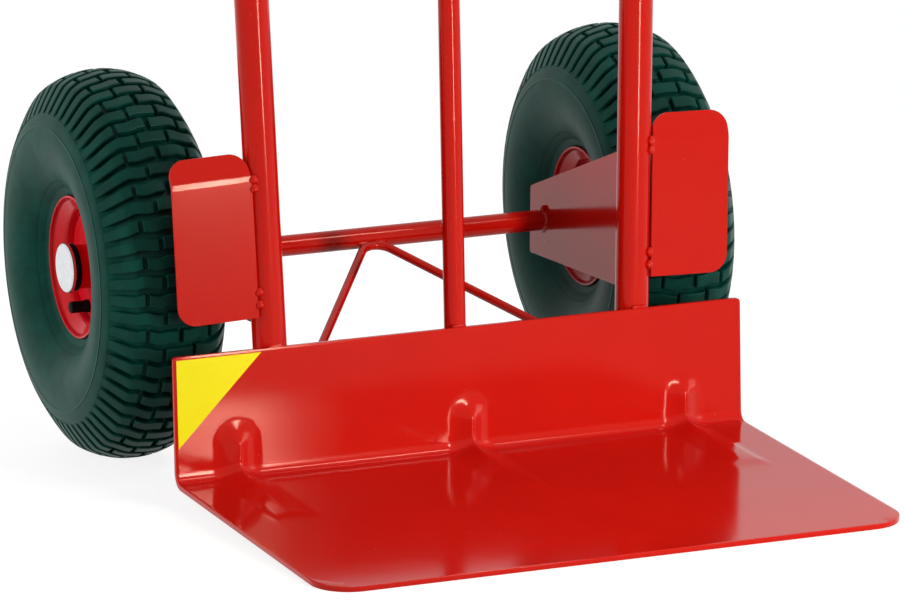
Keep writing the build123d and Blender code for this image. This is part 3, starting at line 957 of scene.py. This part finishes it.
def make_valves():
    """A rubber stub through the outer disc, with a plain round cap on its end."""
    at_valve = to_wheel @ Matrix.Rotation(valve_angle, 4, "X") @ Matrix.Translation((0, 0, -valve_ring))
    stem_end = valve_tip - valve_cap_length
    line = [
        (disc_face - valve_root, 0),
        (disc_face - valve_root, valve_stem_radius),
        (disc_face - valve_base_back, valve_stem_radius),
        (disc_face - valve_base_start, valve_base_radius),
        (disc_face + valve_base_end, valve_base_radius),
        (disc_face + valve_neck, valve_stem_radius + valve_neck_swell),
        (stem_end, valve_stem_radius),
        (stem_end, 0),
    ]
    stem = lathe("stem", line, valve_steps)
    place(stem, at_valve)
    finish_pair("valve_stem_rubber", stem, valve_black, "SIDE_wheel", "black_plastic", ["SIDE_valve_stem"])
    line = [
        (stem_end, 0),
        (stem_end, valve_cap_radius - valve_cap_mouth_drop),
        (stem_end + valve_cap_mouth, valve_cap_radius),
        (valve_tip - valve_cap_round_start, valve_cap_radius),
        (valve_tip - valve_cap_round_end, valve_cap_radius - valve_cap_round_drop),
        (valve_tip, valve_cap_radius - valve_cap_tip_drop),
        (valve_tip, 0),
    ]
    cap = lathe("valve cap", line, valve_steps)
    place(cap, at_valve)
    finish_pair("valve_cap_ribbed", cap, valve_black, "SIDE_wheel", "black_plastic", ["SIDE_valve_cap"])


make_rims()
make_hub_caps()
make_valves()


# Uprights and grips


def make_uprights():
    """A tube drawn up from its foot, bent back and drawn on into the handle."""
    bend_start = handle_corner - handle_tangent
    tube = start_piece("tube", bpy.ops.mesh.primitive_circle_add, vertices=upright_steps,
                       radius=upright_radius, location=(0, upright_y, upright_foot))
    edit(tube, "EDGE")
    bpy.ops.mesh.select_all(action="SELECT")
    bpy.ops.mesh.extrude_region_move(TRANSFORM_OT_translate={"value": (0, 0, bend_start - upright_foot)})
    bend_middle = (0, upright_y + handle_bend_radius, bend_start)
    bpy.ops.mesh.spin(steps=handle_bend_steps, angle=handle_angle, center=bend_middle, axis=(1, 0, 0))
    bpy.ops.mesh.extrude_region_move(TRANSFORM_OT_translate={"value": handle_way * handle_length})
    close_edit()
    modify(tube, "SOLIDIFY", thickness=upright_wall, offset=-1)
    round_edges(tube, upright_edge)
    place(tube, leaned())
    finish_pair("upright_bent", tube, red_paint, "frame", "red_powder_coat", ["SIDE_upright"])


def make_grips():
    """A soft sleeve with a collar and shallow dips for the fingers."""
    first_wave = grip_collar + grip_plain
    wave = (grip_length - grip_end - grip_plain - first_wave) / grip_waves
    bore = upright_radius + grip_fit
    edge = grip_collar_edge
    edge_radius = grip_collar_radius - edge
    fillet_middle = (grip_collar + grip_fillet, grip_radius + grip_fillet)
    tip_middle = (grip_length - grip_tip, grip_radius - grip_tip)
    line = [(0, bore)]
    line += arc((edge, edge_radius), edge, 180, 90, grip_collar_edge_steps)
    line += arc((grip_collar - edge, edge_radius), edge, 90, 0, grip_collar_edge_steps)
    line += arc(fillet_middle, grip_fillet, 180, 270, grip_fillet_steps)
    for index in range(grip_wave_steps * grip_waves + 1):
        dip = grip_wave_depth * (1 - cos(2 * pi * index / grip_wave_steps)) / 2
        line.append((first_wave + wave * index / grip_wave_steps, grip_radius - dip))
    line += arc(tip_middle, grip_tip, 90, 0, grip_tip_steps)
    line += [(grip_length, 0), (grip_length - grip_end, 0), (grip_length - grip_end, bore), (0, bore)]
    grip = lathe("grip", line, grip_steps)
    tube_end = Vector((0, upright_y, handle_corner)) + handle_way * (handle_length + handle_tangent)
    mouth = tube_end + handle_way * (grip_end - grip_length)
    place(grip, leaned() @ along(mouth, tube_end))
    finish_pair("hand_grip_soft", grip, grip_black, "frame", "grip_rubber", ["SIDE_hand_grip"],
                smooth_below=60)


def make_slim_tube(name, node, start, end):
    """A straight piece of the slim tube whose ends run into the tubes it is welded to."""
    length = (Vector(end) - Vector(start)).length
    tube = start_piece(name, bpy.ops.mesh.primitive_circle_add, vertices=slim_steps, radius=slim_radius,
                       rotation=(0, radians(90), 0))
    edit(tube, "EDGE")
    bpy.ops.mesh.select_all(action="SELECT")
    bpy.ops.mesh.extrude_region_move(TRANSFORM_OT_translate={"value": (length, 0, 0)})
    close_edit()
    modify(tube, "SOLIDIFY", thickness=slim_wall, offset=-1)
    round_edges(tube, slim_edge)
    place(tube, along(start, end))
    finish_piece(tube, red_paint, "frame", "red_powder_coat", [node])


def make_slim_tubes():
    """The centre upright, the top cross tube and the two halves of the middle one."""
    centre_top = (0, slim_y, top_cross_height - slim_radius / 2)
    make_slim_tube("centre_upright_drawn", "centre_upright", (0, slim_y, upright_foot), centre_top)
    spread = [upright_half_spacing - upright_radius / 2 + (height - flange_top) * tan(upright_lean)
              for height in (top_cross_height, middle_cross_height)]
    ends = [(side * spread[0], slim_y, top_cross_height) for side in (-1, 1)]
    make_slim_tube("top_cross_tube_drawn", "top_cross_tube", *ends)
    for side, sign in (("left", -1), ("right", 1)):
        start = (sign * slim_radius / 2, slim_y, middle_cross_height)
        end = (sign * spread[1], slim_y, middle_cross_height)
        make_slim_tube(f"{side}_middle_cross_drawn", f"{side}_middle_cross_tube", start, end)


make_uprights()
make_grips()
make_slim_tubes()


# Wheel guards and axle brackets


def beside_tube(y):
    """How far from an upright's middle a sheet at a depth has to stay to leave the guard's gap."""
    return sqrt((upright_radius + guard_gap) ** 2 - min(y - upright_y, 0) ** 2)


def make_guards():
    """A sheet beside the upright, its top folded back and its corners rounded."""
    middle = guard_front + guard_thickness / 2
    inner = beside_tube(guard_front + guard_thickness)
    outer = inner + guard_width
    tangent = guard_fold_radius * tan(guard_fold_angle / 2)
    flat_top = guard_fold - tangent
    guard = start_piece("guard", bpy.ops.mesh.primitive_plane_add, size=1)
    upright_plane = Matrix.Rotation(radians(90), 4, "X")
    size = Matrix.Diagonal((guard_width, flat_top - guard_bottom, 1, 1))
    spot = Matrix.Translation(((inner + outer) / 2, middle, (flat_top + guard_bottom) / 2))
    place(guard, spot @ upright_plane @ size)
    edit(guard, "EDGE")
    pick(guard, "EDGE", lambda edge: edge.z > flat_top - close_by)
    bpy.ops.mesh.spin(steps=guard_fold_steps, angle=guard_fold_angle, axis=(1, 0, 0),
                      center=(0, middle + guard_fold_radius, flat_top))
    rise = Vector((0, sin(guard_fold_angle), cos(guard_fold_angle))) * (guard_top_length - tangent)
    bpy.ops.mesh.extrude_region_move(TRANSFORM_OT_translate={"value": rise})
    bpy.ops.mesh.select_all(action="SELECT")
    bpy.ops.mesh.remove_doubles(threshold=merge_within)
    # The inner edge moves clear of the tube where the fold leans back past it
    for corner in bmesh.from_edit_mesh(guard.data).verts:
        if corner.co.x < inner + close_by:
            corner.co.x = beside_tube(corner.co.y + guard_thickness / 2)
    top = max(corner.co.z for corner in bmesh.from_edit_mesh(guard.data).verts)
    pick(guard, "VERT", lambda corner: corner.z > top - close_by)
    bpy.ops.mesh.bevel(affect="VERTICES", offset=guard_top_corner_radius, segments=guard_corner_steps)
    pick(guard, "VERT", lambda corner: corner.z < guard_bottom + close_by and corner.x > outer - close_by)
    bpy.ops.mesh.bevel(affect="VERTICES", offset=guard_corner_radius, segments=guard_corner_steps)
    close_edit()
    modify(guard, "SOLIDIFY", thickness=guard_thickness, offset=0, use_even_offset=True)
    round_edges(guard, guard_edge)
    place(guard, leaned())
    finish_pair("wheel_guard_folded", guard, red_paint, "frame", "red_powder_coat", ["SIDE_wheel_guard"])


def make_brackets():
    """A plate from the back of the upright to the axle, deeper at the upright than behind the axle."""
    upright_back = upright_y + upright_radius
    back = axle_y + bracket_overhang
    depth = back - upright_back
    top = axle_z + bracket_back_rise
    bottom = axle_z - bracket_back_drop
    top_slope = (bracket_front_rise - bracket_back_rise) / depth
    bottom_slope = (bracket_back_drop - bracket_front_drop) / depth
    front = upright_back - upright_wall
    bracket = start_piece("bracket", bpy.ops.mesh.primitive_cube_add, size=1)
    place(bracket, Matrix.Translation((0, (front + back) / 2, (top + bottom) / 2))
          @ Matrix.Diagonal((bracket_thickness, back - front, top - bottom, 1)))
    edit(bracket, "VERT")
    pick(bracket, "VERT", lambda corner: corner.y < front + close_by and corner.z > axle_z)
    bpy.ops.transform.translate(value=(0, 0, top_slope * (back - front)))
    pick(bracket, "VERT", lambda corner: corner.y < front + close_by and corner.z < axle_z)
    bpy.ops.transform.translate(value=(0, 0, bottom_slope * (back - front)))
    pick(bracket, "EDGE", lambda edge: edge.y > back - close_by and abs(edge.x) < close_by)
    bpy.ops.mesh.bevel(offset=bracket_corner_radius, segments=bracket_corner_steps)
    close_edit()
    round_edges(bracket, bracket_edge)
    place(bracket, leaned())
    finish_pair("axle_bracket_cut", bracket, red_paint, "frame", "red_powder_coat", ["SIDE_axle_bracket"])


make_guards()
make_brackets()


# Weld beads


def make_bead(start, end, radius):
    """A rippled bead between two points, rounded off at both ends."""
    length = (Vector(end) - Vector(start)).length
    half_ripples = 2 * max(2, round(length / weld_ripple))
    tip = radius * bead_tip
    shoulder = radius * bead_shoulder
    shoulder_height = radius * bead_shoulder_height
    line = [(-tip, 0), (-shoulder, shoulder_height)]
    for index in range(half_ripples + 1):
        line.append((length * index / half_ripples, radius * (1 if index % 2 else bead_valley)))
    line += [(length + shoulder, shoulder_height), (length + tip, 0)]
    bead = lathe("bead", line, bead_steps)
    place(bead, along(start, end))
    return bead


def make_lump(spot, size):
    """A blob of weld metal: a ball drawn out upwards and pressed flat against the joint."""
    lump = start_piece("lump", bpy.ops.mesh.primitive_uv_sphere_add, segments=lump_segments,
                       ring_count=lump_rings, radius=size, location=spot)
    edit(lump, "VERT")
    for axis, stretch in ((2, lump_top), (0, lump_side), (1, lump_back)):
        pick(lump, "VERT", lambda corner: corner[axis] > spot[axis])
        bpy.ops.transform.resize(value=stretch, center_override=spot)
    bpy.ops.mesh.select_all(action="SELECT")
    bpy.ops.mesh.vertices_smooth(factor=lump_smoothing, repeat=lump_smoothing_steps)
    close_edit()
    return lump


def finish_welds(name, node, right_welds, middle_welds=()):
    """Join the right-hand welds, their mirror images and those in the middle, and paint them."""
    right = join("right welds", right_welds)
    left = copy_of(right, "left welds", across)
    welds = join(name, [right, left, *middle_welds])
    finish_piece(welds, red_paint, "frame", "red_powder_coat", [node], smooth_below=60)


def on_upright(piece):
    """Lean a weld with the right upright."""
    place(piece, leaned())
    return piece


def make_guard_welds():
    """Two blobs near each end of the guard's inner edge bridge the gap to the tube."""
    x = beside_tube(guard_front + guard_thickness) - guard_gap - guard_lump_sink
    heights = [guard_bottom + rise for rise in guard_lump_rises]
    heights += [guard_fold - drop for drop in guard_lump_drops]
    lumps = [on_upright(make_lump((x, guard_front, z), guard_lump)) for z in heights]
    finish_welds("guard_weld_lumps", "guard_welds", lumps)


def flange_bead(tube_x):
    """A short bead on the flange's top edge in front of a tube."""
    start, end = ((tube_x + side * flange_weld_length / 2, flange_back, flange_top) for side in (-1, 1))
    return make_bead(start, end, flange_weld_radius)


def upright_beads(places, low, high, radius):
    """Beads straight up between two heights, at places given by X and Y."""
    return [make_bead((x, y, low), (x, y, high), radius) for x, y in places]


def seam_beads(tube_radius):
    """Beads down both sides of a tube at X = 0 against the back of the flange."""
    x = sqrt(tube_radius**2 - (tube_radius - seam_weld_inset) ** 2)
    places = [(side * x, flange_back) for side in (-1, 1)]
    return upright_beads(places, crease + seam_weld_start, flange_top - seam_weld_end, seam_weld_radius)


def bracket_beads():
    """Beads down both faces of a bracket at X = 0 where it meets its upright."""
    low = axle_z - bracket_front_drop + bracket_weld_end
    high = axle_z + bracket_front_rise - bracket_weld_end
    places = [(side * bracket_thickness / 2, upright_y + upright_radius) for side in (-1, 1)]
    return upright_beads(places, low, high, bracket_weld_radius)


def axle_ring():
    """A rippled ring of weld, with one lump, round the axle on the inner face of the right bracket."""
    face = bracket_middle - bracket_thickness / 2
    root = axle_radius - weld_sink
    line = [(face + axle_weld_root, root), (face + axle_weld_root, axle_radius + axle_weld)]
    line += [(face - axle_weld * out, axle_radius + axle_weld * off) for out, off in axle_weld_round]
    line += [(face - axle_weld, root), line[0]]
    ring = lathe("axle ring", line, axle_weld_steps)
    edit(ring, "VERT")
    for index in range(axle_weld_ripples):
        turn = 2 * pi * index / axle_weld_ripples
        off_axle = Vector((0, sin(turn), cos(turn)))
        aside = Vector((0, cos(turn), -sin(turn)))
        pick(ring, "VERT", lambda corner: corner.x < face and abs(corner.dot(aside)) < close_by
             and corner.dot(off_axle) > axle_radius)
        bpy.ops.transform.translate(value=axle_weld_ripple * (off_axle - Vector((1, 0, 0))))
    close_edit()
    lump = make_lump((face - axle_lump_stand, -axle_radius / 2, axle_radius), axle_lump)
    ring = join("axle ring", [ring, lump])
    place(ring, Matrix.Translation((0, axle_y, axle_z)))
    return ring


def brace_beads():
    """A ring at the right foot of the brace and a short bead beside its bend on the axle."""
    foot = Vector((brace_half_spread, flange_back, brace_foot))
    root = brace_radius - foot_weld_sink
    line = [(-weld_sink, brace_radius + foot_weld)]
    line += [(foot_weld * out, brace_radius + foot_weld * off) for out, off in foot_weld_round]
    line += [(2 * foot_weld, root), (-weld_sink, root), line[0]]
    ring = lathe("foot ring", line, foot_weld_steps)
    place(ring, along(foot, foot + Vector((0, 1, 0))))
    down = Vector((0, flange_back + brace_radius - axle_y, brace_foot - axle_z)).normalized()
    touch = Vector((brace_radius, axle_y, axle_z)) + down * axle_radius
    return [ring, make_bead(touch, touch + Vector((apex_weld_length, 0, 0)), apex_weld_radius)]


def make_welds():
    """Every weld, each group as one piece for both sides."""
    make_guard_welds()
    finish_welds("flange_weld_beads", "flange_welds", [flange_bead(upright_half_spacing)], [flange_bead(0)])
    seams = [on_upright(bead) for bead in seam_beads(upright_radius)]
    finish_welds("upright_weld_beads", "upright_welds", seams, seam_beads(slim_radius))
    finish_welds("bracket_weld_beads", "bracket_welds", [on_upright(bead) for bead in bracket_beads()])
    finish_welds("axle_weld_rings", "axle_welds", [axle_ring()])
    finish_welds("brace_weld_beads", "brace_welds", brace_beads())


make_welds()


# Studio, in metres

floor_size = 2.3
floor_glow = 0.84
world_light = 0.18


def seen_directly(tree):
    """One for what the camera sees straight, mirrored or through glass, otherwise nought."""
    path = add(tree, "LightPath")
    seen = path.outputs["Is Camera Ray"]
    for name in ("Is Glossy Ray", "Is Transmission Ray"):
        seen = add(tree, "Math", {0: seen, 1: path.outputs[name]}, operation="MAXIMUM").outputs["Value"]
    return seen


def make_floor():
    """Grey paper that glows only where it is seen, so it looks white and keeps the shadow."""
    floor = start_piece("floor", bpy.ops.mesh.primitive_plane_add, size=floor_size)
    material, tree, shader, _ = new_material("pale studio paper")
    glow = add(tree, "Math", {0: seen_directly(tree), 1: floor_glow}, operation="MULTIPLY")
    shader.inputs["Base Color"].default_value = colour("#8C8C8C")
    shader.inputs["Emission Color"].default_value = colour("#FFFFFF")
    tree.links.new(glow.outputs["Value"], shader.inputs["Emission Strength"])
    shader.inputs["Roughness"].default_value = 0.9
    floor.data.materials.append(material)


def add_softbox(name, place_at, aim, wide, high, watts, mirrored=True):
    """A plain rectangular area lamp that points at a place, and may be kept out of reflections."""
    lamp = bpy.data.lights.new(name, "AREA")
    lamp.shape = "RECTANGLE"
    lamp.size = wide
    lamp.size_y = high
    lamp.energy = watts
    holder = bpy.data.objects.new(name, lamp)
    bpy.context.scene.collection.objects.link(holder)
    holder.location = place_at
    holder.visible_glossy = mirrored
    holder.rotation_euler = (Vector(aim) - Vector(place_at)).to_track_quat("-Z", "Y").to_euler()


def make_world():
    """Plain white light at a low level, which looks white where it is seen."""
    world = bpy.data.worlds.new("studio")
    bpy.context.scene.world = world
    world.use_nodes = True
    tree = world.node_tree
    background = tree.nodes["Background"]
    strength = add(tree, "Math", {0: seen_directly(tree), 1: 1 - world_light, 2: world_light},
                   operation="MULTIPLY_ADD")
    background.inputs["Color"].default_value = colour("#FFFFFF")
    tree.links.new(strength.outputs["Value"], background.inputs["Strength"])


make_floor()
make_world()
add_softbox("front strip", place_at=(0.235, -1.2, 0.34), aim=(0.235, 0, 0.34), wide=0.1, high=0.6, watts=9.6)
add_softbox("high softbox", place_at=(0.8, -1.2, 2.1), aim=(0, 0, 0.1), wide=0.45, high=0.45, watts=11)
add_softbox("left fill", place_at=(-2.6, 0.3, 0.6), aim=(0, 0.1, 0.2), wide=1.6, high=1.0, watts=36,
            mirrored=False)
add_softbox("right fill", place_at=(2.2, -1.3, 0.6), aim=(0, 0, 0.2), wide=1.2, high=1.0, watts=12)
add_softbox("back fill", place_at=(0.3, 2.4, 1.7), aim=(0, 0, 0.4), wide=1.6, high=1.2, watts=24,
            mirrored=False)

# Camera, set where the photograph was taken from
camera_lens = 288.9
camera_sensor = 36.0
camera_reach = 100.0
camera_azimuth = radians(-22.502)
camera_elevation = radians(12.038)
camera_roll = radians(-1.067)
camera_place = (-2.12703, -5.13652, 1.32176)
camera_data = bpy.data.cameras.new("camera")
camera_data.lens = camera_lens
camera_data.sensor_width = camera_sensor
camera_data.clip_end = camera_reach
camera = bpy.data.objects.new("camera", camera_data)
bpy.context.scene.collection.objects.link(camera)
turned = Matrix.Rotation(camera_azimuth, 4, "Z") @ Matrix.Rotation(pi / 2 - camera_elevation, 4, "X")
camera.matrix_world = Matrix.Translation(camera_place) @ turned @ Matrix.Rotation(camera_roll, 4, "Z")
bpy.context.scene.camera = camera
bpy.context.scene.view_settings.view_transform = "Standard"
